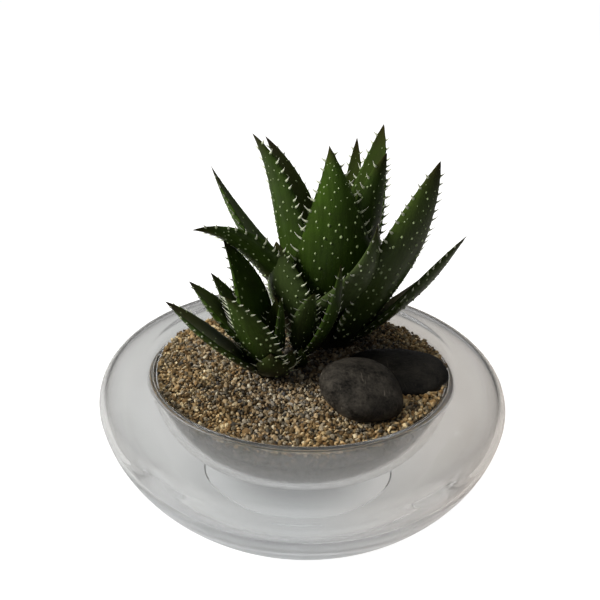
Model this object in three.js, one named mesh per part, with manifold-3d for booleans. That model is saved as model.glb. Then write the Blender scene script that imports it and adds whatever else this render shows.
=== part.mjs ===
// Potted spider aloe: three rosettes of thick, toothed leaves in a double-walled blown glass
// bowl, with potting mix, a top layer of fine gravel and two flat river pebbles.
// Millimetres, +Z up. The origin is the centre of the bowl's underside, and -Y is the front.
import * as THREE from "three";
import { mergeGeometries, mergeVertices } from "three/addons/utils/BufferGeometryUtils.js";
import Module from "manifold-3d";

const wasm = await Module();
wasm.setup();

// Driving dimensions of the bowl
const baseRadius = 50;
const waistRadius = 100;
const waistHeight = 55;
const crestHeight = 72;
const foldRadius = 6;
const shoulderReach = 14;
const footEdge = 0.8;
const wellRadius = 71.7;
const wellFloorHeight = 20;
const glassWall = 3;
const floorWall = 7;
const ventRadius = 2.5;
const ventOffset = 32;
const shoulderControlHeight = 66.5;
const bellyControls = [
  [98, 31],
  [74, 1.8],
];
const heelControls = [
  [95.5, 28],
  [66, floorWall],
];
const heelEndRadius = 26;
const bowlSegments = 32;
const wellSteps = 10;
const foldSteps = 4;
const shoulderSteps = 4;
const bellySteps = 7;

// Driving dimensions of the filling
const seatGap = 0.3;
const wellGap = 0.6;
const soilTop = 56;
const moundHeight = 67.5;
const gravelEdgeHeight = 67;
const gravelTilt = 1;
const gravelTiltHeading = -20;
const gravelSway = 2.4;
const gravelSwayHeading = 165;
const gravelRings = 10;
const grainRelief = 0.55;

// Driving dimensions of the plant
const toothLength = 3.4;
const toothRadius = 1;
const toothRange = [0.12, 0.96];
const toothLean = 0.35;
const toothLift = 0.2;
const toothRootDepth = 1.8;
const toothSpacing = 14.5;
const tubercleRange = [0.2, 0.82];
const tubercleHeight = 0.9;
const tubercleRadius = 0.8;
const tubercleRootDepth = 1.1;
const tubercleSpacing = 22;
const leafThickness = 0.26;
const channelDepth = 0.18;
const stemFootHeight = 34;
const stemTaper = 0.6;
const stemSides = 12;

// Each rosette: where its stem stands, the stem's size, the crown's hole in the gravel, and one
// row for each leaf. Angles are in degrees: azimuth 0 is +X and 90 is +Y, away from the front;
// rise is the leaf's slope at its root; bend and curl change the slope along it; swing turns its
// heading; twist rolls its blade. out and up place the root from the top of the stem's foot.
const rosettes = {
  aloe_main: {
    seed: 11,
    foot: [15, 22, 68],
    stemRadius: 7,
    crownHeight: 22,
    holeRadius: 15,
    // azimuth, rise, bend, curl, swing, twist, length, width, out, up
    leaves: [
      [271, 68, 44, 8, 18, -8, 86, 41, 4, 21],
      [195, 66, 64, -80, 0, 33, 109, 27, 5, 9],
      [142, 80, 6, -48, 0, 4, 101, 28, 4, 12],
      [48, 61, 24, -11, 0, 14, 101, 27, 4, 14],
      [345, 74, 33, -39, 0, -58, 91, 28, 5, 13],
      [71, 40, 40, 8, 0, 3, 95, 18, 3, 17],
      [328, 58, 12, 4, 0, -44, 107, 32, 7, 6],
      [352, 33, 36, -18, 0, -30, 82, 25, 7, 5],
      [295, 50, 17, 8, 24, 30, 57, 37, 7, 25],
      [215, 60, 30, -18, 0, 19, 61, 33, 11, 6],
      [171, 55, -13, 20, 0, 8, 95, 25, 6, 14],
      [195, 64, 11, -74, 21, 46, 100, 27, 6, 5],
      [105, 42, 30, -8, 0, 0, 72, 25, 7, 6],
      [72, 24, 36, -8, 0, 0, 74, 24, 8, 3],
      [130, 26, 34, -8, 0, 0, 66, 23, 8, 4],
      [38, 26, 34, -10, 0, 0, 62, 22, 8, 4],
      [90, 76, 10, 0, 0, 0, 58, 15, 2, 22],
      [215, 78, 10, 0, 0, 0, 40, 13, 2, 22],
      [330, 78, 8, 0, 0, 0, 44, 13, 2, 22],
    ],
  },
  aloe_left_offset: {
    seed: 23,
    foot: [-13, -9, 67],
    stemRadius: 5,
    crownHeight: 12,
    holeRadius: 11,
    leaves: [
      [154, 84, -18, -22, 0, -4, 61, 26, 4, 9],
      [170, 66, -14, -2, 0, -4, 50, 20, 4, 8],
      [184, 52, -11, 3, 0, -10, 52, 22, 4, 11],
      [206, 39, 19, -16, 0, -19, 62, 20, 7, 6],
      [242, 66, 0, -34, 0, -9, 65, 23, 5, 5],
      [268, 24, 44, 0, 0, 0, 23, 18, 4, 5],
      [122, 50, 14, -8, 0, 0, 36, 16, 4, 6],
      [125, 36, 24, -8, 0, 0, 44, 17, 5, 4],
      [300, 38, 30, 0, 0, 0, 22, 13, 4, 3],
      [345, 84, 2, 0, 0, 0, 30, 12, 1, 11],
      [75, 80, 4, 0, 0, 0, 27, 11, 1, 11],
    ],
  },
  aloe_small_offset: {
    seed: 37,
    foot: [0.4, -3.2, 67],
    stemRadius: 3,
    crownHeight: 13,
    holeRadius: 7,
    leaves: [
      [290, 92, -50, 0, 0, 2, 40, 13, 1, 11],
      [325, 48, 52, -12, 0, -9, 55, 12, 2, 9],
      [272, 50, 22, 0, 0, 0, 16, 7, 2, 2],
      [130, 88, 2, 0, 0, 0, 13, 6, 1, 8],
      [330, 76, 4, 0, 0, 0, 14, 7, 1, 8],
    ],
  },
};

// Driving dimensions of the pebbles: centre, half sizes, and the turn about each axis in degrees
const pebbles = {
  pebble_front: { centre: [26.8, -38.3, 76], half: [19.2, 17.7, 7.7], turn: [17, 9.5, 22], egg: 0.06 },
  pebble_back: { centre: [45.4, -12.1, 69.6], half: [25.3, 18.1, 4.6], turn: [6.5, -3.4, -12], egg: 0.03 },
};

const degrees = THREE.MathUtils.degToRad;

// A small seeded generator, so that every build is the same.
function seededRandom(seed) {
  let state = seed * 7919;
  return () => {
    state = (state * 16807) % 2147483647;
    return state / 2147483647;
  };
}

// A closed geometry as a solid that can be joined and cut.
function solidFrom(geometry) {
  const bare = geometry.clone();
  bare.deleteAttribute("normal");
  bare.deleteAttribute("uv");
  const merged = mergeVertices(bare, 1e-4);
  return new wasm.Manifold(
    new wasm.Mesh({
      numProp: 3,
      vertProperties: new Float32Array(merged.attributes.position.array),
      triVerts: new Uint32Array(merged.index.array),
    }),
  );
}

// A solid back as a geometry with flat facets.
function geometryFrom(solid) {
  const mesh = solid.getMesh();
  const geometry = new THREE.BufferGeometry();
  geometry.setAttribute("position", new THREE.BufferAttribute(mesh.vertProperties, 3));
  geometry.setIndex(new THREE.BufferAttribute(mesh.triVerts, 1));
  const flat = geometry.toNonIndexed();
  flat.computeVertexNormals();
  return flat;
}

// A profile of (radius, height) points turned about the Z axis.
function turned(profile, segments = bowlSegments) {
  const geometry = new THREE.LatheGeometry(profile, segments);
  geometry.rotateX(Math.PI / 2);
  return geometry;
}

// An upright cylinder from bottom to top, used as a plain hole or a stem.
function upright(x, y, bottom, top, lowRadius, topRadius, sides) {
  const geometry = new THREE.CylinderGeometry(topRadius, lowRadius, top - bottom, sides);
  geometry.rotateX(Math.PI / 2);
  geometry.translate(x, y, (top + bottom) / 2);
  return geometry;
}

// Points on a circle in the (radius, height) plane, from one angle to another.
function arc(centreRadius, centreHeight, radius, from, to, steps) {
  const points = [];
  for (let i = 0; i <= steps; i += 1) {
    const angle = from + ((to - from) * i) / steps;
    points.push(
      new THREE.Vector2(centreRadius + radius * Math.cos(angle), centreHeight + radius * Math.sin(angle)),
    );
  }
  return points;
}

// The well is half an ellipse with an upright wall at its top. There it meets the fold, a quarter
// of a small circle that rolls over into the crest.
const foldCentreRadius = wellRadius + foldRadius;
const foldCentreHeight = crestHeight - foldRadius;
const wellDepth = foldCentreHeight - wellFloorHeight;

// The well's profile from its lowest point up to a height, larger by grow.
function well(grow, top, steps) {
  const last = Math.asin((top - foldCentreHeight) / (wellDepth + grow));
  const points = [];
  for (let i = 0; i <= steps; i += 1) {
    const angle = -Math.PI / 2 + ((last + Math.PI / 2) * i) / steps;
    points.push(
      new THREE.Vector2(
        (wellRadius + grow) * Math.cos(angle),
        foldCentreHeight + (wellDepth + grow) * Math.sin(angle),
      ),
    );
  }
  points[0].x = 0;
  return points;
}

// A cubic curve through four (radius, height) control points.
function cubic(controls, steps) {
  const curve = new THREE.CubicBezierCurve(...controls.map(([x, y]) => new THREE.Vector2(x, y)));
  return curve.getPoints(steps);
}

// The outside from the crest to the waist.
function shoulder() {
  return cubic(
    [
      [foldCentreRadius, crestHeight],
      [foldCentreRadius + shoulderReach, crestHeight],
      [waistRadius, shoulderControlHeight],
      [waistRadius, waistHeight],
    ],
    shoulderSteps,
  );
}

// The outside from the waist to the edge of the foot.
function belly() {
  const ends = [
    [waistRadius, waistHeight],
    [baseRadius + footEdge, footEdge],
  ];
  return cubic([ends[0], ...bellyControls, ends[1]], bellySteps);
}

// The air's outside from the waist to the floor of the heel, where the glass is thickest.
function heel() {
  const ends = [
    [waistRadius - glassWall, waistHeight],
    [heelEndRadius, floorWall],
  ];
  return cubic([ends[0], ...heelControls, ends[1]], bellySteps);
}

// A line moved inwards by the wall, along the normal at each point.
function inset(points, wall) {
  return points.map((point, i) => {
    const before = points[Math.max(i - 1, 0)];
    const after = points[Math.min(i + 1, points.length - 1)];
    const along = after.clone().sub(before).normalize();
    return new THREE.Vector2(point.x + along.y * wall, point.y - along.x * wall);
  });
}

// One blown piece: the outer skin less the air between the walls, with a small vent in the foot.
function glassBowl() {
  const skin = [
    ...well(0, foldCentreHeight, wellSteps),
    ...arc(foldCentreRadius, foldCentreHeight, foldRadius, Math.PI, Math.PI / 2, foldSteps).slice(1),
    ...shoulder().slice(1),
    ...belly().slice(1),
    new THREE.Vector2(baseRadius, 0),
    new THREE.Vector2(0, 0),
  ];
  const air = [
    ...well(glassWall, foldCentreHeight, wellSteps),
    ...arc(
      foldCentreRadius, foldCentreHeight, foldRadius - glassWall, Math.PI, Math.PI / 2, foldSteps - 1,
    ).slice(1),
    ...inset(shoulder(), glassWall).slice(1, -1),
    ...heel(),
    new THREE.Vector2(0, floorWall),
  ];
  const vent = upright(0, ventOffset, -1, floorWall + 1, ventRadius, ventRadius, 12);
  const solid = solidFrom(turned(skin.reverse()))
    .subtract(solidFrom(turned(air.reverse())))
    .subtract(solidFrom(vent));
  return geometryFrom(solid);
}

// The radius of the filling at a height: clear of the well, and of the fold above it.
function fillingRadius(height) {
  const rise = height - foldCentreHeight;
  if (rise < 0) {
    return (wellRadius - wellGap) * Math.sqrt(1 - (rise / (wellDepth - wellGap)) ** 2);
  }
  return foldCentreRadius - Math.sqrt((foldRadius + wellGap) ** 2 - rise ** 2);
}

// The plain holes that the stems and crowns stand in.
function stemHoles() {
  return Object.values(rosettes).map(({ foot, stemRadius }) =>
    solidFrom(
      upright(
        foot[0], foot[1], stemFootHeight - seatGap, foot[2],
        stemRadius * stemTaper + seatGap, stemRadius + seatGap, stemSides,
      ),
    ),
  );
}

// Potting mix below the gravel, filling the well.
function pottingMix() {
  const profile = [...well(-wellGap, soilTop, wellSteps), new THREE.Vector2(0, soilTop)];
  let solid = solidFrom(turned(profile));
  for (const hole of stemHoles()) {
    solid = solid.subtract(hole);
  }
  return geometryFrom(solid);
}

// The height of the gravel where it meets the glass, by heading: a level, a tilt, and a sway that
// rises on two sides.
function gravelEdge(heading) {
  const tilt = gravelTilt * Math.cos(heading - degrees(gravelTiltHeading));
  const sway = gravelSway * Math.cos(2 * (heading - degrees(gravelSwayHeading)));
  return gravelEdgeHeight + tilt + sway;
}

// Gravel: a shallow mound on a polar grid, with a seeded relief in its top face. Its side follows
// the fold and the well.
function gravel() {
  const random = seededRandom(5);
  const bottom = soilTop + seatGap;
  const levels = [];
  for (let ring = 1; ring <= gravelRings; ring += 1) {
    const share = ring / gravelRings;
    const level = [];
    for (let i = 0; i < bowlSegments; i += 1) {
      const heading = ((i + (ring % 2) / 2) * 2 * Math.PI) / bowlSegments;
      const edge = gravelEdge(heading);
      const radius = share * fillingRadius(edge);
      const relief = ring === gravelRings ? 0 : grainRelief * (2 * random() - 1);
      const height = edge + (moundHeight - edge) * (1 - share * share) + relief;
      level.push([radius * Math.cos(heading), radius * Math.sin(heading), height]);
    }
    levels.push(level);
  }
  for (const side of [0, 1, 2, 3]) {
    const level = [];
    for (let i = 0; i < bowlSegments; i += 1) {
      const heading = (i * 2 * Math.PI) / bowlSegments;
      const edge = gravelEdge(heading);
      const top = Math.min(edge - 0.5, foldCentreHeight);
      const height = [(edge + top) / 2, top, (top + bottom) / 2, bottom][side];
      const radius = fillingRadius(height);
      level.push([radius * Math.cos(heading), radius * Math.sin(heading), height]);
    }
    levels.push(level);
  }
  let solid = solidFrom(capped(levels, [0, 0, moundHeight], [0, 0, bottom]));
  for (const { foot, holeRadius } of Object.values(rosettes)) {
    const crown = upright(foot[0], foot[1], bottom - 1, moundHeight + 3, holeRadius, holeRadius, 18);
    solid = solid.subtract(solidFrom(crown));
  }
  for (const stone of Object.values(pebbles)) {
    solid = solid.subtract(solidFrom(pebble(stone, seatGap)));
  }
  return geometryFrom(solid);
}

// Rings of equal length joined in order and closed at each end by a fan to one point.
function capped(levels, first, last) {
  const count = levels[0].length;
  const points = [first, ...levels.flat(), last];
  const lastIndex = points.length - 1;
  const faces = [];
  for (let i = 0; i < count; i += 1) {
    const next = (i + 1) % count;
    faces.push(0, 1 + i, 1 + next);
    for (let ring = 0; ring < levels.length - 1; ring += 1) {
      const near = 1 + ring * count;
      const far = near + count;
      faces.push(near + i, far + i, far + next);
      faces.push(near + i, far + next, near + next);
    }
    const end = 1 + (levels.length - 1) * count;
    faces.push(end + i, lastIndex, end + next);
  }
  const geometry = new THREE.BufferGeometry();
  geometry.setAttribute("position", new THREE.Float32BufferAttribute(points.flat(), 3));
  geometry.setIndex(faces);
  return geometry;
}

// A flat river pebble: a sphere squashed to its half sizes, fuller than an ellipsoid, with one
// end broader than the other.
function pebble({ centre, half, turn, egg }, grow = 0) {
  const geometry = new THREE.SphereGeometry(1, 18, 9);
  geometry.rotateX(Math.PI / 2);
  const position = geometry.attributes.position;
  for (let i = 0; i < position.count; i += 1) {
    const x = position.getX(i);
    const y = position.getY(i);
    const z = position.getZ(i);
    const plump = (x ** 4 + y ** 4 + z ** 4) ** -0.08;
    position.setXYZ(
      i,
      x * plump * (half[0] + grow),
      y * plump * (1 + egg * x) * (half[1] + grow),
      z * plump * (half[2] + grow),
    );
  }
  geometry.rotateX(degrees(turn[0]));
  geometry.rotateY(degrees(turn[1]));
  geometry.rotateZ(degrees(turn[2]));
  geometry.translate(...centre);
  return geometry;
}

// The blade's share of its full width, and of its full thickness, at s from root 0 to tip 1:
// straight sides near the tip, swelling to the widest part, and drawn in at the root.
function widthShare(s) {
  const run = 1.7 * (1 - s);
  const pinch = 1 - 0.35 * Math.max(0, 1 - s / 0.22) ** 2;
  return (run / (1 + run ** 6) ** (1 / 6)) * pinch;
}

function thicknessShare(s) {
  const run = 2.6 * (1 - s);
  return run / (1 + run ** 4) ** 0.25;
}

// A leaf's midline and its frame: along, across and inward (towards the rosette's middle).
// The midline is the sum of short steps, each with its own slope and heading.
function leafFrames(foot, row, steps = 60) {
  const [azimuth, rise, bend, curl, swing, twist, length, width, out, up] = row;
  const point = new THREE.Vector3(
    foot[0] + out * Math.cos(degrees(azimuth)),
    foot[1] + out * Math.sin(degrees(azimuth)),
    foot[2] + up,
  );
  const frames = [];
  for (let i = 0; i <= steps; i += 1) {
    const s = i / steps;
    const slope = degrees(rise + bend * s + curl * s * s);
    const heading = degrees(azimuth + swing * s);
    const along = new THREE.Vector3(
      Math.cos(slope) * Math.cos(heading),
      Math.cos(slope) * Math.sin(heading),
      Math.sin(slope),
    );
    const across = new THREE.Vector3(-Math.sin(heading), Math.cos(heading), 0);
    across.applyAxisAngle(along, degrees(twist) * s);
    const inward = along.clone().cross(across);
    frames.push({
      s,
      point: point.clone(),
      along,
      across,
      inward,
      halfWidth: (widthShare(s) * width) / 2,
      thickness: thicknessShare(s) * width * leafThickness,
    });
    point.addScaledVector(along, length / steps);
  }
  return frames;
}

// A point on the blade's outer face: side runs from -1 to 1 across it.
function outerPoint(frame, side) {
  const depth = frame.thickness * Math.sqrt(Math.max(0, 1 - side * side));
  return frame.point
    .clone()
    .addScaledVector(frame.across, side * frame.halfWidth)
    .addScaledVector(frame.inward, -depth);
}

// A point on the blade's inner face, which is a shallow channel.
function innerPoint(frame, side) {
  return frame.point
    .clone()
    .addScaledVector(frame.across, side * frame.halfWidth)
    .addScaledVector(frame.inward, -frame.thickness * channelDepth * (1 - side * side));
}

// The blade: seven-sided sections from root to tip, closed by a point at each end.
function blade(frames) {
  const stations = [0, 0.12, 0.28, 0.45, 0.62, 0.78, 0.9];
  const last = frames.length - 1;
  const levels = stations.map((s) => {
    const frame = frames[Math.round(s * last)];
    return [
      ...[1, 0.7, 0, -0.7, -1].map((side) => outerPoint(frame, side).toArray()),
      ...[-0.45, 0.45].map((side) => innerPoint(frame, side).toArray()),
    ];
  });
  const root = outerPoint(frames[0], 0).add(innerPoint(frames[0], 0)).multiplyScalar(0.5);
  return capped(levels, root.toArray(), frames[last].point.toArray());
}

// A spike with three sides: its root triangle is sunk below the point that it stands on.
function spike(point, direction, height, radius, sink) {
  const geometry = new THREE.ConeGeometry(radius, height + sink, 3, 1);
  geometry.translate(0, (height - sink) / 2, 0);
  geometry.applyQuaternion(
    new THREE.Quaternion().setFromUnitVectors(new THREE.Vector3(0, 1, 0), direction),
  );
  geometry.translate(point.x, point.y, point.z);
  return geometry;
}

// White marginal teeth: a row on both edges, shorter towards the tip, leaning forwards.
function marginTeeth(frames, length, width) {
  const teeth = [];
  const [first, last] = toothRange;
  const count = Math.max(1, Math.round(((last - first) * length) / toothSpacing));
  const size = Math.min(1, 0.55 + width / 50);
  for (const side of [-1, 1]) {
    for (let i = 0; i < count; i += 1) {
      const stagger = side > 0 ? 0.75 : 0.25;
      const s = first + ((last - first) * (i + stagger)) / count;
      const frame = frames[Math.round(s * (frames.length - 1))];
      const direction = frame.across
        .clone()
        .multiplyScalar(side)
        .addScaledVector(frame.along, toothLean)
        .addScaledVector(frame.inward, toothLift)
        .normalize();
      const height = toothLength * size * (1 - 0.6 * s * s);
      const radius = Math.min(toothRadius * size, frame.halfWidth * 0.5 + 0.2);
      const seat = outerPoint(frame, side * 0.97);
      teeth.push(spike(seat, direction, height, radius, toothRootDepth));
    }
  }
  return teeth;
}

// Pale tubercles: low points scattered over the outer face in staggered rows.
function tubercles(frames, length, width, random) {
  const bumps = [];
  const [first, last] = tubercleRange;
  const count = Math.round(((last - first) * length) / tubercleSpacing);
  for (let i = 0; i < count; i += 1) {
    const rows = width > 24 ? [-0.5, 0.1, 0.6] : [-0.35, 0.35];
    const side = rows[i % rows.length] + 0.16 * (random() - 0.5);
    const s = first + ((last - first) * (i + 0.5 * random())) / count;
    const frame = frames[Math.round(s * (frames.length - 1))];
    const seat = outerPoint(frame, side);
    const direction = frame.inward
      .clone()
      .multiplyScalar(-Math.sqrt(1 - side * side))
      .addScaledVector(frame.across, 0.6 * side)
      .normalize();
    bumps.push(spike(seat, direction, tubercleHeight, tubercleRadius, tubercleRootDepth));
  }
  return bumps;
}

// A whole rosette: leaves, teeth, tubercles and the stem they grow from, joined in one solid.
function rosette({ seed, foot, stemRadius, crownHeight, leaves }) {
  const random = seededRandom(seed);
  const stem = upright(
    foot[0], foot[1], stemFootHeight, foot[2], stemRadius * stemTaper, stemRadius, stemSides,
  );
  const crown = upright(
    foot[0], foot[1], foot[2] - 0.5, foot[2] + crownHeight, stemRadius, stemRadius * stemTaper, stemSides,
  );
  const pieces = [stem, crown];
  for (const row of leaves) {
    const length = row[6];
    const width = row[7];
    const frames = leafFrames(foot, row);
    pieces.push(blade(frames));
    pieces.push(...marginTeeth(frames, length, width));
    pieces.push(...tubercles(frames, length, width, random));
  }
  return geometryFrom(wasm.Manifold.union(pieces.map(solidFrom)));
}

const finishes = {
  glass: { color: 0xdfe4e6, roughness: 0.05, metalness: 0, transparent: true, opacity: 0.35 },
  soil: { color: 0x3a2c20, roughness: 1, metalness: 0 },
  gravel: { color: 0x9b8468, roughness: 0.9, metalness: 0 },
  paleStone: { color: 0x3d3b39, roughness: 0.75, metalness: 0 },
  darkStone: { color: 0x232322, roughness: 0.6, metalness: 0 },
  leaf: { color: 0x2c5a1e, roughness: 0.45, metalness: 0 },
};

const part = new THREE.Group();

function place(name, geometry, finish) {
  const mesh = new THREE.Mesh(geometry, new THREE.MeshStandardMaterial(finishes[finish]));
  mesh.name = name;
  part.add(mesh);
}

place("glass_bowl", glassBowl(), "glass");
place("potting_mix", pottingMix(), "soil");
place("gravel", gravel(), "gravel");
place("pebble_front", pebble(pebbles.pebble_front), "paleStone");
place("pebble_back", pebble(pebbles.pebble_back), "darkStone");
for (const [name, plant] of Object.entries(rosettes)) {
  place(name, rosette(plant), "leaf");
}

export default part;
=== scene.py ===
"""Potted spider aloe: three rosettes of thick, toothed leaves in a double-walled blown glass
bowl, with potting mix, a top layer of fine gravel and two flat river pebbles.

Shapes are worked out in millimetres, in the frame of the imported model, and put into the meshes in
metres. The origin is the centre of the bowl's underside, +Z is up and -Y is the front.
"""
import math

import bpy
import numpy as np
from mathutils import Matrix, Vector


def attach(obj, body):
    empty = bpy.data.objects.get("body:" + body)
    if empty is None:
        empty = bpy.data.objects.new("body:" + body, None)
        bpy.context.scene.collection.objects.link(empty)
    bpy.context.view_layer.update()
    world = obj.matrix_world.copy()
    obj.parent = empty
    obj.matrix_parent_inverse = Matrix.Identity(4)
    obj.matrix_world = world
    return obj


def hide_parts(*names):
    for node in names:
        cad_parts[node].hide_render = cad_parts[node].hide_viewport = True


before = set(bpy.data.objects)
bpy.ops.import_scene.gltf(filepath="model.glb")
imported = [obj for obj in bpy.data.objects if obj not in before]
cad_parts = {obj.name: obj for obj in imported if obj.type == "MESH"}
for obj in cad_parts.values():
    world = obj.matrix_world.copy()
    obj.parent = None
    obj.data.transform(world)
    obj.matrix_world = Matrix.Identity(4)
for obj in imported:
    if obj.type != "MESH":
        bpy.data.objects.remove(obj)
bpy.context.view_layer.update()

MM = 0.001
TAU = 2 * math.pi

# The camera, in millimetres, degrees and pixels of a picture 600 wide
CAMERA_PLACE = (-8.5, -301.1, 240.4)
CAMERA_PITCH = 24.71
CAMERA_YAW = -2.57
CAMERA_ROLL = -0.57
CAMERA_FOCUS = 685.0
CAMERA_SHIFT = 45.0
PICTURE_SIDE = 600.0
SENSOR = 36.0

# The bowl
BASE_RADIUS = 50.0
WAIST_RADIUS = 100.0
WAIST_HEIGHT = 55.0
CREST_HEIGHT = 72.0
FOLD_RADIUS = 6.0
SHOULDER_REACH = 14.0
SHOULDER_CONTROL_HEIGHT = 66.5
BELLY_CONTROLS = ((98, 31), (74, 1.8))
HEEL_CONTROL_INSET = 1.5
HEEL_CONTROL_HEIGHT = 28.0
HEEL_CONTROL_RADIUS = 66.0
HEEL_END_RADIUS = 26.0
FOOT_EDGE = 0.8
WELL_RADIUS = 71.7
WELL_FLOOR = 20.0
GLASS_WALL = 3.0
FLOOR_WALL = 7.0
VENT_RADIUS = 2.5
VENT_OFFSET = 32.0
BOWL_SEGMENTS = 192

# The filling
WALL_GAP = 0.5
SEAT_GAP = 0.3
SOIL_TOP = 56.0
MOUND_HEIGHT = 67.5
GRAVEL_EDGE = 67.0
TILT = 1.0
TILT_HEADING = math.radians(-20)
SWAY = 2.4
SWAY_HEADING = math.radians(165)
BED_DEPTH = 1.6
BED_WALL_GAP = 1.0
BED_RIM_DROP = 1.2
GRAIN_SPACING = 1.85
GRAIN_SIZE = 0.92
GRAIN_DEPTHS = (0.55, 1.5)
GRAIN_BUMPS = (0.7, 1.25)
GRAIN_SIDES = ((0.95, 1.3), (0.8, 1.0), (0.6, 0.85))
GRAIN_JITTER = 0.32
GRAIN_UNEVENNESS = 0.28
GRAIN_WALL_GAP = 0.6
WALL_GRAINS = 1500
WALL_GRAIN_GAP = 0.9
WALL_GRAIN_DROP = 0.8
# The distance from the origin over which the gravel turns rusty, and the heights between which
# painted light makes it paler below its top
RUST_REACH = (68.0, 98.0)
PAINTED_LIGHT_HEIGHTS = (64.2, 62.2)

# The leaves
LEAF_THICKNESS = 0.26
CHANNEL_DEPTH = 0.18
LEAF_TAPER = 0.84
LEAF_STEPS = 100
OUTER_STEPS = 24
INNER_STEPS = 12
TOOTH_LENGTH = 5.6
TOOTH_RADIUS = 0.48
TOOTH_SPACING = 4.6
TOOTH_RANGE = (0.06, 0.95)
SWELL_HEIGHT = 0.7
SWELL_REACH = 1.6
TUBERCLE_SPACING = 4.9
TUBERCLE_RADIUS = 0.62
DOTS_KEPT = 0.72
# How far a tooth or a dot bends, how deep its root lies in the leaf, and how much longer its root
# is along the leaf
TOOTH_STANCE = {"bend": 0.42, "sink": 0.6, "stretch": 1.6}
DOT_STANCE = {"bend": 0.0, "sink": 0.25, "stretch": 1.25}
STEM_FOOT = 34.0
STEM_TAPER = 0.6
# How dark the painted shade at a leaf's root is
ROOT_SHADE = 0.34
PALLOR = (0, 0.12)
BROWNNESS = 0.55
# How far the map of the inner face, and that of each next leaf, is shifted in the patterns
INNER_SHIFT = 60
LEAF_SHIFT = (150, 40)
# The heights between which the painted shade just above the gravel lifts off the leaves
GROUND_SHADE_HEIGHTS = (66.0, 92.0)

# The studio
FLOOR_TONE = 0.5
FLOOR_TONE_THROUGH = 0.12
FLOOR_GLOW_DIRECT = 0.97
# The floor's glow as it is seen through or in the glass, by distance from the origin in metres; low
# under the bowl's middle, as a painted shadow
FLOOR_GLOW = (
    (0.0, 0.26), (0.025, 0.32), (0.045, 0.58), (0.08, 0.66), (0.22, 0.63), (0.36, 0.36), (0.6, 0.04),
)
# Places and sizes of the lights are in metres, and powers in watts
LIGHT_AIM = (0, 0, 0.08)
LIGHTS = {
    "key": {"place": (-1.2, -0.3, 0.85), "size": 0.5, "power": 20.5, "colour": (1.0, 0.98, 0.94)},
    "top": {"place": (-0.1, 0.4, 1.3), "size": 0.8, "power": 7.0, "colour": (1.0, 0.99, 0.96)},
    "fill": {"place": (0.9, -0.6, 0.7), "size": 0.8, "power": 0.3, "colour": (1.0, 0.97, 0.94)},
}
# How bright the room is through the glass, through it to what stands behind it, on its dark
# cards, as a reflection, and as a light
ROOM_THROUGH = 0.42
ROOM_INSIDE = 1.5
ROOM_SIDES = 0.2
ROOM_MIRRORED = 0.24
ROOM_LIGHT = 0.12
LIGHT_BOUNCES = 20

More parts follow.
